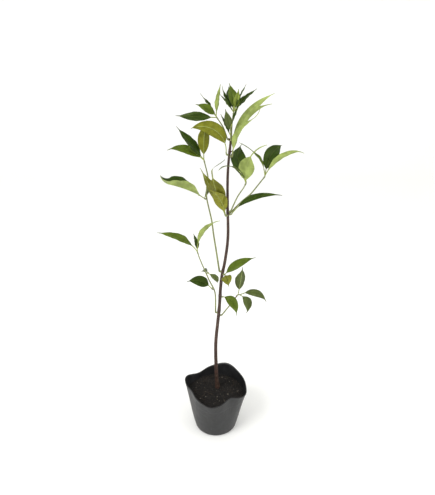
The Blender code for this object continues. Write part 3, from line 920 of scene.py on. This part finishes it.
lumpFaces = ((0, 11, 5), (0, 5, 1), (0, 1, 7), (0, 7, 10), (0, 10, 11), (1, 5, 9), (5, 11, 4),
             (11, 10, 2), (10, 7, 6), (7, 1, 8), (3, 9, 4), (3, 4, 2), (3, 2, 6), (3, 6, 8),
             (3, 8, 9), (4, 9, 5), (2, 4, 11), (6, 2, 10), (8, 6, 7), (9, 8, 1))


def scattered(name, count, radii, sunk, finish, chance):
    foot = Vector((trunkSizes["route"][0][1], trunkSizes["route"][0][2], 0))
    points, faces = [], []
    for _ in range(count):
        edge = soilRim(chance.uniform(0, 360))
        away = chance.uniform(0.01, 1) ** 0.5 * soilSizes["grainReach"]
        spot = foot.lerp(Vector((edge.x, edge.y, 0)), away)
        if (spot - foot).length < soilSizes["grainGap"]:
            continue
        radius = radii[0] + (radii[1] - radii[0]) * chance.random() ** 2.2
        centre = Vector((spot.x, spot.y, soilHeight(spot.x, spot.y) + radius * sunk))
        faces += [tuple(len(points) + i for i in face) for face in lumpFaces]
        points += lumpPoints(centre, radius, chance)
    solid(name, points, faces, [finish])


def makeFibres(finish, chance):
    points, faces = [], []
    for _ in range(soilSizes["fibres"]):
        edge = soilRim(chance.uniform(0, 360))
        spot = Vector((edge.x, edge.y, 0)) * (chance.uniform(0.05, 1) ** 0.5 * soilSizes["fibreReach"])
        heading = chance.uniform(0, 360)
        radius = chance.uniform(*soilSizes["fibreRadius"])
        route = []
        for _ in range(chance.randint(*soilSizes["fibrePoints"])):
            lift = chance.uniform(*soilSizes["fibreLift"])
            route.append(Vector((spot.x, spot.y, soilHeight(spot.x, spot.y) + lift)))
            heading += chance.uniform(-soilSizes["fibreTurn"], soilSizes["fibreTurn"])
            spot = spot + direction(heading, 0) * soilSizes["fibreStep"]
        rings = tubeRings(route, [radius] * len(route), 7)
        faces += skin(rings, len(points))
        points += [p for ring in rings for p in ring]
    solid("soil_fibres", points, faces, [finish])


# Small brown parts: buds at the top nodes, and a dead stub on the low left shoot

budSizes = {
    # height on the trunk, heading, radius
    "buds": ((497, 330, 1.0), (514, 210, 1.2), (513, 330, 1.0), (405, 100, 0.9), (306, 60, 1.0)),
    # way out from the bark, way up, share of the radius
    "profile": ((-1.0, 0, 0.9), (0.2, 0, 1.0), (0.9, 0.5, 0.85), (1.5, 1.3, 0.55), (1.8, 2.1, 0.12)),
    "sides": 14,
    "stub": ((-3.4, -5.6, 277), (-4.6, -6.6, 278), (-6.2, -7.4, 278.4)),
    "stubRadii": (0.75, 0.65, 0.5),
    "stubSides": 12,
}


def makeBuds(finish):
    points, faces = [], []
    trunk = coarseTrunk()
    shapes = []
    for height, heading, radius in budSizes["buds"]:
        foot, out = placeOn(trunk, height, heading)
        route = [foot + out * away + Vector((0, 0, up)) for away, up, _ in budSizes["profile"]]
        radii = [radius * share for _, _, share in budSizes["profile"]]
        shapes.append(tubeRings(route, radii, budSizes["sides"]))
    stub = [Vector(p) for p in budSizes["stub"]]
    shapes.append(tubeRings(stub, budSizes["stubRadii"], budSizes["stubSides"]))
    for rings in shapes:
        faces += skin(rings, len(points))
        points += [p for ring in rings for p in ring]
    solid("brown_buds", points, faces, [finish])


# Finishes

def leafFinish(name, colour, roughness):
    finish = Finish("leaf_" + name, Specular_IOR_Level=0.22, Specular_Tint=(0.85, 1.0, 0.45))
    spot = finish.place()
    patches = finish.noise(spot, 90.0, 2.0)
    speckle = finish.noise(spot, 1400.0, 2.0)
    shade = patches.between(0.3, 0.7)
    finish.wear(Base_Color=finish.mixed(shade, tinted(colour, 0.78), tinted(colour, 1.2)),
                Roughness=roughness + 0.10 * speckle)
    finish.relief(speckle, 0.00012, 0.5)
    return finish


def barkFinish():
    finish = Finish("bark_red_brown", Specular_IOR_Level=0.4)
    streaks = finish.noise(finish.place((1.0, 1.0, 0.16)), 900.0, 4.0)
    patches = finish.noise(finish.place(), 160.0, 2.0)
    colour = finish.mixed(streaks.between(0.35, 0.68), (0.020, 0.009, 0.007), (0.075, 0.036, 0.024))
    colour = finish.mixed(patches.between(0.55, 0.75), colour, (0.085, 0.062, 0.040))
    finish.wear(Base_Color=colour, Roughness=0.5 + 0.25 * streaks)
    finish.relief(streaks, 0.0003, 0.7)
    return finish


def shootFinish():
    finish = Finish("bark_green", Specular_IOR_Level=0.45)
    streaks = finish.noise(finish.place((1.0, 1.0, 0.2)), 700.0, 3.0)
    patches = finish.noise(finish.place(), 70.0, 2.0)
    colour = finish.mixed(streaks.between(0.3, 0.7), (0.120, 0.135, 0.045), (0.240, 0.270, 0.100))
    colour = finish.mixed(patches.between(0.52, 0.8), colour, (0.130, 0.100, 0.050))
    finish.wear(Base_Color=colour, Roughness=0.42 + 0.2 * streaks)
    finish.relief(streaks, 0.0002, 0.5)
    return finish


def potFinish():
    finish = Finish("pot_black_film", Specular_IOR_Level=0.5)
    spot = finish.place()
    smudge = finish.noise(spot, 55.0, 4.0)
    fine = finish.noise(spot, 1500.0, 3.0)
    dust = finish.noise(finish.place((1.0, 1.0, 0.35)), 210.0, 5.0, 0.7)
    colour = finish.mixed(smudge.between(0.45, 0.75), (0.0060, 0.0062, 0.0068), (0.016, 0.0165, 0.018))
    colour = finish.mixed(dust.between(0.62, 0.85), colour, (0.055, 0.056, 0.054))
    finish.wear(Base_Color=colour, Roughness=0.30 + 0.25 * smudge + 0.08 * fine)
    finish.relief(smudge + 0.1 * fine, 0.0006, 0.6)
    return finish


def soilFinish(name, dark, light, roughness):
    finish = Finish(name, Specular_IOR_Level=0.3)
    spot = finish.place()
    grain = finish.noise(spot, 900.0, 5.0, 0.7)
    patches = finish.noise(spot, 120.0, 3.0)
    finish.wear(Base_Color=finish.mixed((grain * 0.7 + patches * 0.3).between(0.4, 0.7), dark, light),
                Roughness=roughness + 0.1 * grain)
    finish.relief(grain, 0.0005, 0.9)
    return finish


# Floor, light and camera

stageLook = {
    "floorColour": (0.93, 0.93, 0.915),
    "worldColour": (1.0, 1.0, 0.985),
    "worldStrength": 0.95,
    # metres: how far the floor runs to the front, back and sides, and how high the back rises
    "front": -4.0,
    "back": 1.6,
    "side": 4.0,
    "high": 3.0,
    "sweepRadius": 0.5,
    "sweepSteps": 16,
    # place, what it points at, size, power
    "key_lamp": ((-1.1, -1.0, 1.6), (0, 0, 0.35), 1.2, 22.0),
    "fill_lamp": ((1.3, -0.7, 1.0), (0, 0, 0.3), 1.4, 7.0),
}

cameraLook = {
    "place": (0.003, -0.690, 0.655),
    "pitchDown": 24.0,
    "focalPixels": 490.0,
    "frameHeight": 495.0,
    "sensor": 36.0,
    "clip": (0.01, 20.0),
}


def makeStage():
    floor = Finish("studio_floor", Roughness=0.9, Specular_IOR_Level=0.1)
    mottling = floor.noise(floor.place(), 3.0, 2.0)
    colour = stageLook["floorColour"]
    floor.wear(Base_Color=floor.mixed(mottling, tinted(colour, 0.995), colour))
    radius, back, wide = stageLook["sweepRadius"], stageLook["back"], stageLook["side"]
    profile = [(stageLook["front"], 0.0), (back, 0.0)]
    for k in range(1, stageLook["sweepSteps"] + 1):
        turn = math.pi / 2 * k / stageLook["sweepSteps"]
        profile.append((back + radius * math.sin(turn), radius * (1 - math.cos(turn))))
    profile.append((back + radius, stageLook["high"]))
    points = [(x, y, z) for y, z in profile for x in (-wide, wide)]
    faces = [(2 * k, 2 * k + 1, 2 * k + 3, 2 * k + 2) for k in range(len(profile) - 1)]
    mesh = bpy.data.meshes.new("studio_sweep")
    mesh.from_pydata(points, [], faces)
    mesh.shade_smooth()
    mesh.materials.append(floor.material)
    sweep = bpy.data.objects.new("studio_sweep", mesh)
    bpy.context.scene.collection.objects.link(sweep)
    world = bpy.data.worlds.new("studio_world")
    world.use_nodes = True
    background = world.node_tree.nodes["Background"]
    background.inputs["Color"].default_value = (*stageLook["worldColour"], 1.0)
    background.inputs["Strength"].default_value = stageLook["worldStrength"]
    bpy.context.scene.world = world


def makeLamp(name, place, target, size, power):
    lamp = bpy.data.lights.new(name, "AREA")
    lamp.shape = "DISK"
    lamp.size = size
    lamp.energy = power
    holder = bpy.data.objects.new(name, lamp)
    holder.location = place
    holder.rotation_euler = (Vector(target) - Vector(place)).to_track_quat("-Z", "Y").to_euler()
    bpy.context.scene.collection.objects.link(holder)


def makeCamera():
    lens = bpy.data.cameras.new("view_camera")
    lens.sensor_width = cameraLook["sensor"]
    lens.lens = cameraLook["focalPixels"] * cameraLook["sensor"] / cameraLook["frameHeight"]
    lens.clip_start, lens.clip_end = cameraLook["clip"]
    holder = bpy.data.objects.new("view_camera", lens)
    holder.location = cameraLook["place"]
    holder.rotation_euler = (math.radians(90 - cameraLook["pitchDown"]), 0, 0)
    bpy.context.scene.collection.objects.link(holder)
    bpy.context.scene.camera = holder


bpy.context.scene.view_settings.view_transform = "Standard"
makeCamera()
makeStage()
for name in ("key_lamp", "fill_lamp"):
    makeLamp(name, *stageLook[name])
print("stage, light and camera placed")

limbs = coarseLimbs()
bark, shoot = barkFinish(), shootFinish()
makeTrunk(bark)
makeBoughs(shoot, limbs)
makeTwigs(shoot, limbs)
makeBuds(soilFinish("bud_brown", (0.030, 0.014, 0.009), (0.090, 0.045, 0.028), 0.6))
print("trunk, shoots and twigs made")

leafFinishes = {tone: leafFinish(tone, colour, leafGloss.get(tone, dullRoughness))
                for tone, colour in leafColours.items()}
makeLeaves(leafFinishes, limbs)
print("leaves made")

makePot(potFinish())
makeSoil(soilFinish("soil_dark", (0.0035, 0.0030, 0.0026), (0.016, 0.013, 0.011), 0.8))
chanceGrains = random.Random(seed + 2)
scattered("soil_grains", soilSizes["grains"], soilSizes["grainRadius"], 0.25,
          soilFinish("grain_dark", (0.005, 0.0042, 0.0036), (0.028, 0.023, 0.019), 0.75),
          chanceGrains)
scattered("soil_chips", soilSizes["chips"], soilSizes["chipRadius"], 0.45,
          soilFinish("chip_pale", (0.10, 0.085, 0.065), (0.30, 0.27, 0.22), 0.7),
          chanceGrains)
makeFibres(soilFinish("fibre_brown", (0.035, 0.024, 0.016), (0.09, 0.065, 0.045), 0.8), chanceGrains)
print("pot and soil made")
